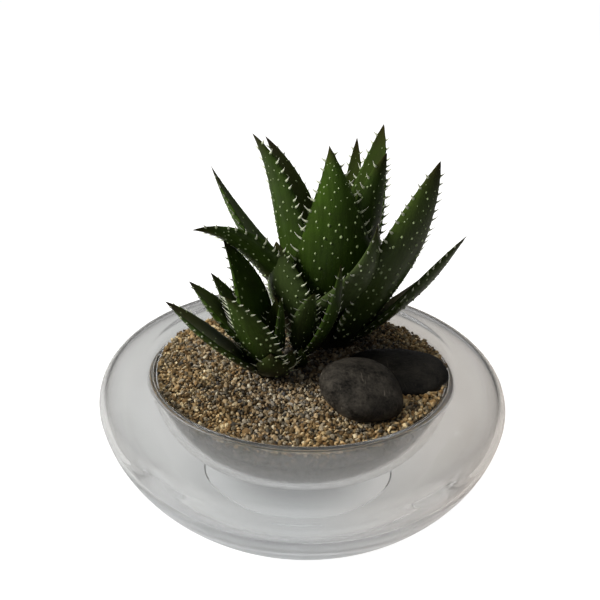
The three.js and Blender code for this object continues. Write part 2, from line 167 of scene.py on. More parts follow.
# Each rosette: where its stem stands, the stem's size and one row for each leaf. Angles are in
# degrees: azimuth 0 is +X and 90 is +Y; rise is the slope at the root; bend and curl change the
# slope along the leaf; swing turns its heading; twist rolls its blade. out and up place the root.
# pale, brown and taper are for single leaves, by their number; dots is the share of dots kept.
ROSETTES = {
    "aloe_main": {
        "seed": 11, "foot": (15, 22, 68), "stem_radius": 7, "crown_height": 22,
        "pale": {8: 0.6, 9: 0.45}, "brown": {1: 0.5, 2: 0.7, 3: 0.3, 6: 3, 7: 3, 10: 0.5},
        "taper": {0: 1.05},
        # azimuth, rise, bend, curl, swing, twist, length, width, out, up
        "leaves": [
            (271, 68, 44, 8, 18, -8, 86, 41, 4, 21),
            (195, 66, 64, -80, 0, 33, 109, 27, 5, 9),
            (142, 80, 6, -48, 0, 4, 101, 28, 4, 12),
            (48, 61, 24, -11, 0, 14, 101, 27, 4, 14),
            (345, 74, 33, -39, 0, -58, 91, 28, 5, 13),
            (71, 40, 40, 8, 0, 3, 95, 18, 3, 17),
            (328, 58, 12, 4, 0, -44, 107, 32, 7, 6),
            (352, 33, 36, -18, 0, -30, 82, 25, 7, 5),
            (295, 50, 17, 8, 24, 30, 57, 37, 7, 25),
            (215, 60, 30, -18, 0, 19, 61, 33, 11, 6),
            (171, 55, -13, 20, 0, 8, 95, 25, 6, 14),
            (195, 64, 11, -74, 21, 46, 100, 27, 6, 5),
            (105, 42, 30, -8, 0, 0, 72, 25, 7, 6),
            (72, 24, 36, -8, 0, 0, 74, 24, 8, 3),
            (130, 26, 34, -8, 0, 0, 66, 23, 8, 4),
            (38, 26, 34, -10, 0, 0, 62, 22, 8, 4),
            (90, 76, 10, 0, 0, 0, 58, 15, 2, 22),
            (215, 78, 10, 0, 0, 0, 40, 13, 2, 22),
            (330, 78, 8, 0, 0, 0, 44, 13, 2, 22),
        ],
    },
    "aloe_left_offset": {
        "seed": 23, "foot": (-13, -9, 67), "stem_radius": 5, "crown_height": 12,
        "pale": {0: 0.0, 1: 0.0, 2: 0.0, 3: 0.0}, "brown": {0: 0.1, 3: 0.9, 5: 4.0}, "dots": 0.6,
        "leaves": [
            (154, 84, -18, -22, 0, -4, 61, 26, 4, 9),
            (170, 66, -14, -2, 0, -4, 50, 20, 4, 8),
            (184, 52, -11, 3, 0, -10, 52, 22, 4, 11),
            (206, 39, 19, -16, 0, -19, 62, 20, 7, 6),
            (242, 66, 0, -34, 0, -9, 65, 23, 5, 5),
            (268, 24, 44, 0, 0, 0, 23, 18, 4, 5),
            (122, 50, 14, -8, 0, 0, 36, 16, 4, 6),
            (125, 36, 24, -8, 0, 0, 44, 17, 5, 4),
            (300, 38, 30, 0, 0, 0, 22, 13, 4, 3),
            (345, 84, 2, 0, 0, 0, 30, 12, 1, 11),
            (75, 80, 4, 0, 0, 0, 27, 11, 1, 11),
        ],
    },
    "aloe_small_offset": {
        "seed": 37, "foot": (0.4, -3.2, 67), "stem_radius": 3, "crown_height": 13,
        "pale": {0: 0.4}, "dots": 0.6,
        "leaves": [
            (290, 92, -50, 0, 0, 2, 40, 13, 1, 11),
            (325, 48, 52, -12, 0, -9, 55, 12, 2, 9),
            (272, 50, 22, 0, 0, 0, 16, 7, 2, 2),
            (130, 88, 2, 0, 0, 0, 13, 6, 1, 8),
            (330, 76, 4, 0, 0, 0, 14, 7, 1, 8),
        ],
    },
}

# The pebbles: how much fuller than an ellipsoid they are, and for each its centre, half sizes,
# turn about each axis in degrees, how much one end is broader than the other, and its finish
PEBBLE_PLUMPNESS = 0.08
PEBBLES = {
    "pebble_front": {
        "centre": (26.8, -38.3, 76), "half": (19.2, 17.7, 7.7), "turn": (17, 9.5, 22), "egg": 0.06,
        "seed": 21, "slot": "grey_stone", "finish": "grey_pebble", "roughness": 0.6,
        "dark": (0.006, 0.0052, 0.0042), "light": (0.075, 0.066, 0.054),
    },
    "pebble_back": {
        "centre": (45.4, -12.1, 69.6), "half": (25.3, 18.1, 4.6), "turn": (6.5, -3.4, -12), "egg": 0.03,
        "seed": 31, "slot": "dark_stone", "finish": "dark_pebble", "roughness": 0.5,
        "dark": (0.003, 0.0027, 0.0023), "light": (0.026, 0.023, 0.0185),
    },
}


def new_object(name, data):
    """An object in the scene."""
    made = bpy.data.objects.new(name, data)
    bpy.context.scene.collection.objects.link(made)
    return made


def set_camera():
    """A camera turned by its yaw, pitch and roll, with the photograph's field of view."""
    pitch, yaw, roll = (math.radians(a) for a in (CAMERA_PITCH, CAMERA_YAW, CAMERA_ROLL))
    ahead = Vector((math.sin(yaw) * math.cos(pitch), math.cos(yaw) * math.cos(pitch), -math.sin(pitch)))
    right = Vector((math.cos(yaw), -math.sin(yaw), 0))
    up = right.cross(ahead)
    across = math.cos(roll) * right + math.sin(roll) * up
    upwards = math.cos(roll) * up - math.sin(roll) * right
    lens = bpy.data.cameras.new("camera")
    lens.sensor_width = SENSOR
    lens.lens = CAMERA_FOCUS / PICTURE_SIDE * SENSOR
    lens.shift_x = CAMERA_SHIFT / PICTURE_SIDE
    lens.clip_start = 0.01
    camera = new_object("camera", lens)
    turn = Matrix((across, upwards, -ahead)).transposed().to_4x4()
    camera.matrix_world = Matrix.Translation(Vector(CAMERA_PLACE) * MM) @ turn
    bpy.context.scene.camera = camera


# Meshes


def mesh_object(name, points, faces, smooth=True, values=None, uv=None):
    """An object from an (n, 3) array of points in millimetres and a list of (count, corners)
    index arrays. values are floats at the points by name, and uv is a map of points at the points."""
    mesh = bpy.data.meshes.new(name)
    mesh.vertices.add(len(points))
    mesh.vertices.foreach_set("co", (np.asarray(points) * MM).astype(np.float32).ravel())
    corners = np.concatenate([block.ravel() for block in faces]).astype(np.int32)
    sizes = np.concatenate([np.full(len(block), block.shape[1]) for block in faces])
    mesh.loops.add(len(corners))
    mesh.loops.foreach_set("vertex_index", corners)
    mesh.polygons.add(len(sizes))
    starts = np.concatenate([[0], np.cumsum(sizes)[:-1]])
    mesh.polygons.foreach_set("loop_start", starts.astype(np.int32))
    mesh.update(calc_edges=True)
    mesh.polygons.foreach_set("use_smooth", np.full(len(sizes), smooth))
    for key, numbers in (values or {}).items():
        mesh.attributes.new(key, "FLOAT", "POINT").data.foreach_set("value", numbers.astype(np.float32))
    if uv is not None:
        layer = mesh.uv_layers.new(name="blade")
        layer.data.foreach_set("uv", uv[corners].astype(np.float32).ravel())
    return new_object(name, mesh)


def ring_faces(rings, count):
    """Quads between neighbouring closed rings of count points, and a fan to the point before the
    first ring and to the point after the last. Points are numbered: first end, rings, last end."""
    ring, i = np.meshgrid(np.arange(rings - 1), np.arange(count), indexing="ij")
    near = 1 + ring * count
    after = (i + 1) % count
    quads = np.stack([near + i, near + count + i, near + count + after, near + after], -1).reshape(-1, 4)
    around = np.arange(count)
    following = (around + 1) % count
    final = 1 + (rings - 1) * count
    start = np.stack([np.zeros(count, int), 1 + around, 1 + following], -1)
    end = np.stack([final + around, np.full(count, final + count), final + following], -1)
    return [quads, np.concatenate([start, end])]


def polar(radius, angle, height):
    """Points at a radius and an angle about Z, and at a height."""
    x, y = radius * np.cos(angle), radius * np.sin(angle)
    return np.stack(np.broadcast_arrays(x, y, height), -1)


def turned(profile, segments):
    """A profile of (radius, height) turned about Z. Its ends lie on the axis and close as fans."""
    angle = np.arange(segments) * TAU / segments
    rings = polar(profile[1:-1, 0, None], angle, profile[1:-1, 1, None]).reshape(-1, 3)
    points = np.concatenate([[[0, 0, profile[0, 1]]], rings, [[0, 0, profile[-1, 1]]]])
    return points, ring_faces(len(profile) - 2, segments)


def copied(faces, copies, step):
    """The faces of a small shape of step points, for each of its copies."""
    starts = (np.arange(copies) * step)[:, None, None]
    return [(block[None] + starts).reshape(-1, block.shape[1]) for block in faces]


def repeated(shape, places, turns, sizes):
    """Points of copies of one small shape: each is scaled by its sizes, turned by its matrix and
    moved."""
    return np.einsum("nij,nvj->nvi", turns, shape * sizes[:, None, :]) + places[:, None, :]


def joined(parts):
    """Several (points, faces) as one."""
    points, faces, start = [], [], 0
    for cloud, blocks in parts:
        cloud = cloud.reshape(-1, 3)
        points.append(cloud)
        faces += [block + start for block in blocks]
        start += len(cloud)
    return np.concatenate(points), faces


def unit(vectors):
    """The vectors at length one."""
    return vectors / np.linalg.norm(vectors, axis=1)[:, None]


def random_turns(rng, count):
    """Rotation matrices from random quaternions."""
    w, x, y, z = unit(rng.normal(size=(count, 4))).T
    return np.stack([
        1 - 2 * (y * y + z * z), 2 * (x * y - z * w), 2 * (x * z + y * w),
        2 * (x * y + z * w), 1 - 2 * (x * x + z * z), 2 * (y * z - x * w),
        2 * (x * z - y * w), 2 * (y * z + x * w), 1 - 2 * (x * x + y * y),
    ], -1).reshape(-1, 3, 3)


def waves(points, length, seed, count=14):
    """A smooth relief between about -1 and 1: the sum of seeded sine waves, each in its own
    direction and from half to twice the given wavelength."""
    rng = np.random.default_rng(seed)
    direction = unit(rng.normal(size=(count, 3)))
    pitch = TAU / (length * 2.0 ** rng.uniform(-1, 1, count))
    phase = rng.uniform(0, TAU, count)
    return np.sin(points @ (direction * pitch[:, None]).T + phase).sum(1) * math.sqrt(2 / count) / 1.4


def dress(piece, nodes, material):
    """The piece rides with the one body, stands for its CAD nodes and gets its finish."""
    piece.data.materials.append(material)
    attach(piece, "root")
    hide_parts(*nodes)


# Finishes


def node(tree, kind, inputs=None, **settings):
    """Adds a shader node; kind is its type without ShaderNode. An input that is a socket is linked,
    and any other value is set."""
    made = tree.nodes.new("ShaderNode" + kind)
    for name, value in settings.items():
        setattr(made, name, value)
    for name, value in (inputs or {}).items():
        if isinstance(value, bpy.types.NodeSocket):
            tree.links.new(value, made.inputs[name])
        else:
            made.inputs[name].default_value = value
    return made


def empty_tree(owner):
    """The node tree of a material or a world, with nothing in it."""
    owner.use_nodes = True
    owner.node_tree.nodes.clear()
    return owner.node_tree


def finish(name, **constants):
    """A material with one Principled shader, the constants set on its own sockets, and its tree."""
    made = bpy.data.materials.new(name)
    tree = empty_tree(made)
    shader = node(tree, "BsdfPrincipled")
    node(tree, "OutputMaterial", {"Surface": shader.outputs[0]})
    for key, value in constants.items():
        shader.inputs[key.replace("_", " ").title().replace("Ior", "IOR")].default_value = value
    return made, tree


def noise(tree, place, scale, detail=3.0, roughness=0.55):
    """The value of a noise pattern at a place."""
    inputs = {"Vector": place, "Scale": scale, "Detail": detail, "Roughness": roughness}
    return node(tree, "TexNoise", inputs).outputs[0]


def rgba(colour):
    """A colour with full alpha. A single number is a grey, and a socket stays as it is."""
    if isinstance(colour, (int, float)):
        colour = (colour,) * 3
    return (*colour, 1) if isinstance(colour, tuple) else colour


def ramp(tree, value, *stops):
    """Colours along a value: each stop is a position and a colour or a grey."""
    made = node(tree, "ValToRGB", {"Fac": value})
    band = made.color_ramp
    while len(band.elements) < len(stops):
        band.elements.new(1.0)
    for element, (position, colour) in zip(band.elements, stops):
        element.position = position
        element.color = rgba(colour)
    return made.outputs[0]


def mixed(tree, share, first, second, blend="MIX"):
    """Two colours mixed by a share."""
    inputs = {0: share, 6: rgba(first), 7: rgba(second)}
    return node(tree, "Mix", inputs, data_type="RGBA", blend_type=blend).outputs[2]


def maths(tree, operation, first, second=0.0, third=0.0):
    """One operation on up to three values."""
    return node(tree, "Math", {0: first, 1: second, 2: third}, operation=operation).outputs[0]


def attribute(tree, name):
    """A value kept at the mesh's points."""
    return node(tree, "Attribute", attribute_name=name).outputs["Fac"]


def object_place(tree):
    """The place on the object, in metres from the part's origin."""
    return node(tree, "TexCoord").outputs["Object"]


def distance(tree):
    """How far the place is from the part's origin, in metres."""
    length = node(tree, "VectorMath", {0: object_place(tree)}, operation="LENGTH")
    return length.outputs["Value"]


def coordinate(tree, axis):
    """One coordinate of the place on the object, in metres."""
    return node(tree, "SeparateXYZ", {0: object_place(tree)}).outputs[axis]


def share_between(tree, value, first, last, most=1.0):
    """A share that grows from 0 where the value is at the first to the most where it is at the
    last. The value is in metres, and the first and last are in millimetres."""
    ends = {"From Min": first * MM, "From Max": last * MM, "To Max": most}
    return node(tree, "MapRange", {"Value": value, **ends}).outputs[0]


def blade_place(tree, across, along):
    """The blade's own map in millimetres, stretched across and along the leaf."""
    flat = node(tree, "UVMap", uv_map="blade").outputs[0]
    return node(tree, "Mapping", {"Vector": flat, "Scale": (across, along, 1)}).outputs[0]


def coloured(made, colour, relief=None, strength=0.0, depth=0.0):
    """The finish with its colour linked, and a low relief whose depth is in metres."""
    tree = made.node_tree
    shader = tree.nodes["Principled BSDF"]
    tree.links.new(colour, shader.inputs["Base Color"])
    if relief is not None:
        bump = node(tree, "Bump", {"Height": relief, "Strength": strength, "Distance": depth})
        tree.links.new(bump.outputs[0], shader.inputs["Normal"])
    return made


def clear_glass():
    """Clear blown glass with a faint grey cast, deepened to painted shade where it is seen edge-on."""
    made, tree = finish("clear_blown_glass", roughness=0.0, ior=1.48, transmission_weight=0.95)
    # Painted shade: the cast darkens to a deep grey where the glass is seen edge-on
    facing = node(tree, "LayerWeight", {"Blend": 0.5}).outputs["Facing"]
    cast = ramp(
        tree, facing,
        (0.45, (0.95, 0.95, 0.945)), (0.75, (0.88, 0.87, 0.86)), (1.0, (0.46, 0.43, 0.40)),
    )
    return coloured(made, cast)


def root_shade(tree):
    """White, darkened at the leaf's root: painted shade where the rosette closes."""
    share = attribute(tree, "share")
    return ramp(tree, share, (0.05, ROOT_SHADE), (0.42, 0.86), (0.8, 1))


def ground_shade(tree):
    """White, darkened just above the gravel: painted shade near the ground."""
    share = share_between(tree, coordinate(tree, "Z"), *GROUND_SHADE_HEIGHTS)
    return ramp(tree, share, (0.0, 0.30), (1.0, 1))


def leaf_skin():
    """Waxy dark green: streaks along the blade, a paler bloom in patches, browner on the inner
    face, at the tip and in blushed patches, and darkened by painted shade at the root and near the
    gravel."""
    made, tree = finish("leaf_skin", roughness=0.38, specular_ior_level=0.16)
    streaks = noise(tree, blade_place(tree, 0.55, 0.035), 1.0, 4.0)
    patches = noise(tree, blade_place(tree, 0.05, 0.04), 1.0, 3.0)
    green = ramp(
        tree, streaks,
        (0.3, (0.029, 0.063, 0.005)), (0.5, (0.041, 0.085, 0.008)), (0.72, (0.056, 0.107, 0.013)),
    )
    bloom = maths(tree, "MULTIPLY", ramp(tree, patches, (0.45, 0), (0.75, 1)), 0.28)
    green = mixed(tree, bloom, green, (0.075, 0.115, 0.030))
    blush = maths(tree, "MULTIPLY", ramp(tree, patches, (0.32, 1), (0.5, 0)), 0.55)
    green = mixed(tree, blush, green, (0.030, 0.038, 0.014))
    green = mixed(tree, attribute(tree, "pallor"), green, (0.100, 0.130, 0.055))
    green = mixed(tree, attribute(tree, "brownness"), green, (0.046, 0.038, 0.017))
    tip = ramp(tree, attribute(tree, "share"), (0.86, 0), (1.0, 1))
    # Painted shade at the root and just above the gravel
    green = mixed(tree, 1.0, green, root_shade(tree), "MULTIPLY")
    green = mixed(tree, 1.0, green, ground_shade(tree), "MULTIPLY")
    colour = mixed(tree, maths(tree, "MULTIPLY", tip, 0.85), green, (0.034, 0.017, 0.008))
    fine = noise(tree, blade_place(tree, 2.2, 0.5), 1.0, 2.0)
    return coloured(made, colour, fine, 0.35, 0.0003)


def tooth_skin():
    """Pale translucent teeth, greener at the root."""
    made, tree = finish(
        "tooth_skin", roughness=0.38, subsurface_weight=0.2, subsurface_radius=(0.001, 0.001, 0.0008),
    )
    colour = ramp(
        tree, attribute(tree, "reach"),
        (0.0, (0.14, 0.21, 0.07)), (0.22, (0.70, 0.76, 0.55)), (1.0, (0.95, 0.94, 0.84)),
    )
    return coloured(made, colour)


def speckled(name, roughness, scale, detail, dark, light):
    """A finish that goes from dark to light with a noise pattern."""
    made, tree = finish(name, roughness=roughness)
    speck = noise(tree, object_place(tree), scale, detail)
    return coloured(made, ramp(tree, speck, (0.3, dark), (0.7, light)))


def painted_light_below(tree, colour):
    """A colour turned towards a pale tan below the gravel's top, where the grains are seen through the
    glass: painted light for the light that reaches them there.
    """
    lightening = share_between(tree, coordinate(tree, "Z"), *PAINTED_LIGHT_HEIGHTS, most=0.8)
    return mixed(tree, lightening, colour, (0.27, 0.245, 0.205))


def grain_stone(name, dark, light):
    """Gravel grains of one kind of rock, each with its own tone, and specks within them. They are
    greyer in the middle of the bowl and rustier near the glass, in patches."""
    made, tree = finish(name, roughness=0.62)
    speck = noise(tree, object_place(tree), 1400.0, 2.0)
    own = maths(tree, "MULTIPLY", attribute(tree, "tone"), 0.75)
    tone = maths(tree, "ADD", own, maths(tree, "MULTIPLY", speck, 0.25))
    edge = share_between(tree, distance(tree), *RUST_REACH)
    patch = noise(tree, object_place(tree), 45.0, 2.0)
    rust = maths(tree, "MULTIPLY_ADD", edge, 0.5, maths(tree, "MULTIPLY", patch, 0.8))
    cast = ramp(tree, rust, (0.45, (0.98, 1.0, 1.10)), (0.85, (1.08, 0.98, 0.82)))
    colour = mixed(tree, 1.0, ramp(tree, tone, (0.15, dark), (0.85, light)), cast, "MULTIPLY")
    # Paler below the gravel's top: painted light
    return coloured(made, painted_light_below(tree, colour))


def bed_sand():
    """Fines between the grains, dark in their own colour and as painted shade in the gaps between the
    grains, and paler below the gravel's top by painted light.
    """
    made, tree = finish("gravel_fines", roughness=0.95)
    speck = noise(tree, object_place(tree), 700.0, 3.0)
    colour = ramp(tree, speck, (0.3, (0.035, 0.027, 0.017)), (0.7, (0.15, 0.118, 0.075)))
    return coloured(made, painted_light_below(tree, colour), speck, 1.0, 0.0006)


def soil_crumb():
    """Fibrous potting mix with paler crumbs, all painted paler than the mix: painted light for the light
    that reaches it through the glass.
    """
    made, tree = finish("potting_mix_crumb", roughness=0.95)
    crumbs = noise(tree, object_place(tree), 420.0, 5.0, 0.7)
    cells = node(tree, "TexVoronoi", {"Vector": object_place(tree), "Scale": 260.0})
    # Painted light: these colours are paler than the mix, for the light through the glass
    colour = ramp(
        tree, crumbs,
        (0.35, (0.15, 0.132, 0.106)), (0.6, (0.26, 0.232, 0.190)), (0.78, (0.36, 0.325, 0.27)),
    )
    return coloured(made, colour, maths(tree, "ADD", crumbs, cells.outputs["Distance"]), 1.0, 0.0012)


def river_stone(name, dark, light, roughness):
    """Worn river stone: fine grain, soft mottles and faint pale scratches."""
    made, tree = finish(name, roughness=roughness, specular_ior_level=0.3)
    place = object_place(tree)
    grain = noise(tree, place, 900.0, 4.0, 0.65)
    mottles = noise(tree, place, 130.0, 5.0, 0.65)
    stretched = node(tree, "Mapping", {
        "Vector": place, "Rotation": (0.4, 0.2, 0.9), "Scale": (900.0, 60.0, 300.0),
    })
    lines = noise(tree, stretched.outputs[0], 1.0, 2.0)
    scratch = ramp(tree, lines, (0.68, 0), (0.76, 1))
    tone = maths(tree, "ADD", maths(tree, "MULTIPLY", grain, 0.4), maths(tree, "MULTIPLY", mottles, 0.6))
    base = ramp(tree, tone, (0.38, dark), (0.62, light))
    pale = tuple(2.6 * c for c in light)
    colour = mixed(tree, maths(tree, "MULTIPLY", scratch, 0.65), base, pale)
    relief = maths(tree, "MULTIPLY_ADD", mottles, 2.0, grain)
    relief = maths(tree, "SUBTRACT", relief, maths(tree, "MULTIPLY", scratch, 0.4))
    return coloured(made, colour, relief, 0.6, 0.0007)


# The bowl


def cubic(points, steps):
    """A Bezier curve through four control points."""
    t = np.linspace(0, 1, steps + 1)[:, None]
    a, b, c, d = (np.array(p, float) for p in points)
    return (1 - t) ** 3 * a + 3 * (1 - t) ** 2 * t * b + 3 * (1 - t) * t * t * c + t**3 * d


FOLD_CENTRE = (WELL_RADIUS + FOLD_RADIUS, CREST_HEIGHT - FOLD_RADIUS)
WELL_DEPTH = FOLD_CENTRE[1] - WELL_FLOOR


def well(grow, steps):
    """Half an ellipse from the lowest point to the upright wall below the fold, larger by grow."""
    angle = np.linspace(-math.pi / 2, 0, steps + 1)
    points = np.stack([
        (WELL_RADIUS + grow) * np.cos(angle),
        FOLD_CENTRE[1] + (WELL_DEPTH + grow) * np.sin(angle),
    ], -1)
    points[0, 0] = 0
    return points


def fold(radius, steps):
    """A quarter circle about the fold's centre, from the well's wall to the crest."""
    angle = np.linspace(math.pi, math.pi / 2, steps + 1)
    return FOLD_CENTRE + radius * np.stack([np.cos(angle), np.sin(angle)], -1)


def flank():
    """The outside from the crest over the waist to the foot's edge, as two cubic curves."""
    shoulder = cubic([
        (FOLD_CENTRE[0], CREST_HEIGHT), (FOLD_CENTRE[0] + SHOULDER_REACH, CREST_HEIGHT),
        (WAIST_RADIUS, SHOULDER_CONTROL_HEIGHT), (WAIST_RADIUS, WAIST_HEIGHT),
    ], 20)
    belly = cubic([
        (WAIST_RADIUS, WAIST_HEIGHT), *BELLY_CONTROLS, (BASE_RADIUS + FOOT_EDGE, FOOT_EDGE),
    ], 44)
    return shoulder, belly


def inset(line, wall):
    """The line moved inwards by the wall along its normal."""
    along = unit(np.gradient(line, axis=0))
    return line + np.stack([along[:, 1], -along[:, 0]], -1) * wall


def bowl_profiles():
    """The outer skin (well, fold, flank and foot) and the air between the walls, as profiles. The
    wall is even down to the waist; below it a cubic curve of its own makes the thick heel."""
    shoulder, belly = flank()
    skin = np.concatenate([
        well(0, 60),
        fold(FOLD_RADIUS, 16)[1:],
        shoulder[1:],
        belly[1:],
        [[BASE_RADIUS, 0], [BASE_RADIUS * 0.6, 0], [0, 0]],
    ])
    inner = inset(shoulder, GLASS_WALL)
    inside = WAIST_RADIUS - GLASS_WALL
    heel = cubic([
        (inside, WAIST_HEIGHT), (inside - HEEL_CONTROL_INSET, HEEL_CONTROL_HEIGHT),
        (HEEL_CONTROL_RADIUS, FLOOR_WALL), (HEEL_END_RADIUS, FLOOR_WALL),
    ], 40)
    air = np.concatenate([
        well(GLASS_WALL, 60),
        fold(FOLD_RADIUS - GLASS_WALL, 12)[1:],
        inner[1:-1],
        heel,
        [[0, FLOOR_WALL]],
    ])
    return skin[::-1], air


def make_bowl():
    """One blown piece: the skin and the air between its walls in one mesh, with the vent cut."""
    points, faces = joined(turned(profile, BOWL_SEGMENTS) for profile in bowl_profiles())
    bowl = mesh_object("glass_bowl_blown", points, faces)
    points, faces = turned(
        np.array([[0, -2], [VENT_RADIUS, -2], [VENT_RADIUS, FLOOR_WALL + 2], [0, FLOOR_WALL + 2]]), 24,
    )
    drill = mesh_object("vent_drill", points + [0, VENT_OFFSET, 0], faces)
    cut = bowl.modifiers.new("vent", "BOOLEAN")
    cut.operation = "DIFFERENCE"
    cut.solver = "EXACT"
    cut.object = drill
    bpy.context.view_layer.objects.active = bowl
    bpy.ops.object.modifier_apply(modifier=cut.name)
    bpy.data.objects.remove(drill)
    bowl.data.set_sharp_from_angle(angle=math.radians(40))
    dress(bowl, ["glass_bowl"], clear_glass())


# The filling


def gravel_edge(heading):
    """The height where the gravel meets the glass: a level, a tilt, and a sway that rises on two
    sides."""
    tilt = TILT * np.cos(heading - TILT_HEADING)
    return GRAVEL_EDGE + tilt + SWAY * np.cos(2 * (heading - SWAY_HEADING))


def filling_radius(height):
    """The radius of the filling at a height, just clear of the well and of the fold above it."""
    rise = np.asarray(height) - FOLD_CENTRE[1]
    below = np.sqrt(np.maximum(0, 1 - (rise / (WELL_DEPTH - WALL_GAP)) ** 2))
    reach = FOLD_RADIUS + WALL_GAP
    above = FOLD_CENTRE[0] - np.sqrt(np.maximum(0, reach**2 - rise**2))
    return np.where(rise < 0, (WELL_RADIUS - WALL_GAP) * below, above)


def mound(x, y):
    """The gravel's surface: it falls with the square of the distance from the middle."""
    edge = gravel_edge(np.arctan2(y, x))
    share = np.hypot(x, y) / filling_radius(edge)
    return edge + (MOUND_HEIGHT - edge) * (1 - share**2)


def make_soil():
    """Potting mix: the well up to the soil's top, with a crumbly relief."""
    wall = well(-WALL_GAP, 90)
    wall = wall[wall[:, 1] < SOIL_TOP - 0.4]
    radii = np.linspace(filling_radius(SOIL_TOP), 0, 20)
    lid = np.stack([radii, np.full(20, SOIL_TOP)], -1)
    points, faces = turned(np.concatenate([wall, lid])[::-1], 220)
    away = points - [0, 0, SOIL_TOP]
    relief = 0.35 * (1 + waves(points, 5.0, 3)) + 0.25 * (1 + waves(points, 2.2, 4))
    points = points - away / (np.linalg.norm(away, axis=1)[:, None] + 1e-9) * relief[:, None]
    points[:, 2] = np.minimum(points[:, 2], SOIL_TOP)
    soil = mesh_object("potting_mix_body", points, faces)
    dress(soil, ["potting_mix"], soil_crumb())


def make_gravel_bed():
    """The fines between the grains: the mound's surface a little below the grains' tops."""
    count = 160
    share = np.linspace(0.02, 1, 60)[:, None]
    heading = np.arange(count)[None] * TAU / count
    edge = gravel_edge(heading) - BED_RIM_DROP
    radius = share * (filling_radius(edge) - BED_WALL_GAP)
    x, y = radius * np.cos(heading), radius * np.sin(heading)
    top = np.stack([x, y, mound(x, y) - BED_DEPTH], -1)
    sides = []
    for level in (0.5, 0.0):
        height = SOIL_TOP + SEAT_GAP + level * (edge - SOIL_TOP)
        sides.append(polar(filling_radius(height) - BED_WALL_GAP, heading, height))
    rings = np.concatenate([top, *sides])
    points = np.concatenate([
        [[0, 0, MOUND_HEIGHT - BED_DEPTH]], rings.reshape(-1, 3), [[0, 0, SOIL_TOP + SEAT_GAP]],
    ])
    bed = mesh_object("gravel_fines", points, ring_faces(len(rings), count))
    dress(bed, ["gravel"], bed_sand())


def in_pebble(points, stone, grow):
    """Whether each point lies inside a pebble that has grown by a little."""
    away = (points - np.array(stone["centre"])) @ pebble_turn(stone["turn"])
    away = away / (np.array(stone["half"]) + grow)
    reach = np.linalg.norm(away, axis=1) + 1e-9
    return reach < ((away / reach[:, None]) ** 4).sum(1) ** -PEBBLE_PLUMPNESS


def grain_places(rng):
    """Two layers of a jittered triangular lattice on the mound, and one layer on the glass, clear
    of the pebbles."""
    pitch = GRAIN_SPACING
    reach = int(90 / pitch)
    u, v = np.meshgrid(np.arange(-reach, reach), np.arange(-reach, reach))
    layers = []
    for shift, depth in zip((0.0, 0.5), GRAIN_DEPTHS):
        x = (u + 0.5 * (v % 2) + shift).ravel() * pitch + rng.normal(0, GRAIN_JITTER, u.size)
        y = (v * math.sqrt(0.75) + shift).ravel() * pitch + rng.normal(0, GRAIN_JITTER, u.size)
        z = mound(x, y) - depth + rng.normal(0, GRAIN_UNEVENNESS, u.size)
        layers.append(np.stack([x, y, z], -1))
    z = rng.uniform(SOIL_TOP + 1.2, GRAVEL_EDGE + 2, WALL_GRAINS)
    heading = rng.uniform(0, TAU, WALL_GRAINS)
    wall = polar(filling_radius(z) - WALL_GRAIN_GAP, heading, z)
    layers.append(wall[z < gravel_edge(heading) - WALL_GRAIN_DROP])
    places = np.concatenate(layers)
    inside = np.hypot(places[:, 0], places[:, 1]) < filling_radius(places[:, 2]) - GRAIN_WALL_GAP
    places = places[inside & (places[:, 2] > SOIL_TOP)]
    for stone in PEBBLES.values():
        places = places[~in_pebble(places, stone, 0.2)]
    return places


def grain_shape():
    """An icosahedron: 12 points and 20 faces."""
    gold = (1 + math.sqrt(5)) / 2
    points = np.array([
        (-1, gold, 0), (1, gold, 0), (-1, -gold, 0), (1, -gold, 0),
        (0, -1, gold), (0, 1, gold), (0, -1, -gold), (0, 1, -gold),
        (gold, 0, -1), (gold, 0, 1), (-gold, 0, -1), (-gold, 0, 1),
    ]) / math.hypot(1, gold)
    faces = np.array([
        (0, 11, 5), (0, 5, 1), (0, 1, 7), (0, 7, 10), (0, 10, 11), (1, 5, 9), (5, 11, 4),
        (11, 10, 2), (10, 7, 6), (7, 1, 8), (3, 9, 4), (3, 4, 2), (3, 2, 6), (3, 6, 8),
        (3, 8, 9), (4, 9, 5), (2, 4, 11), (6, 2, 10), (8, 6, 7), (9, 8, 1),
    ])
    return points, faces


# The kinds of grain: their share, and their darkest and lightest colour
GRAIN_KINDS = {
    "gravel_tan": (0.36, (0.160, 0.114, 0.058), (0.56, 0.43, 0.255)),
    "gravel_brown": (0.22, (0.060, 0.041, 0.019), (0.31, 0.205, 0.100)),
    "gravel_grey": (0.27, (0.095, 0.084, 0.062), (0.43, 0.385, 0.300)),
    "gravel_slate": (0.05, (0.026, 0.024, 0.021), (0.125, 0.118, 0.108)),
    "gravel_cream": (0.10, (0.42, 0.34, 0.20), (0.80, 0.72, 0.52)),
}


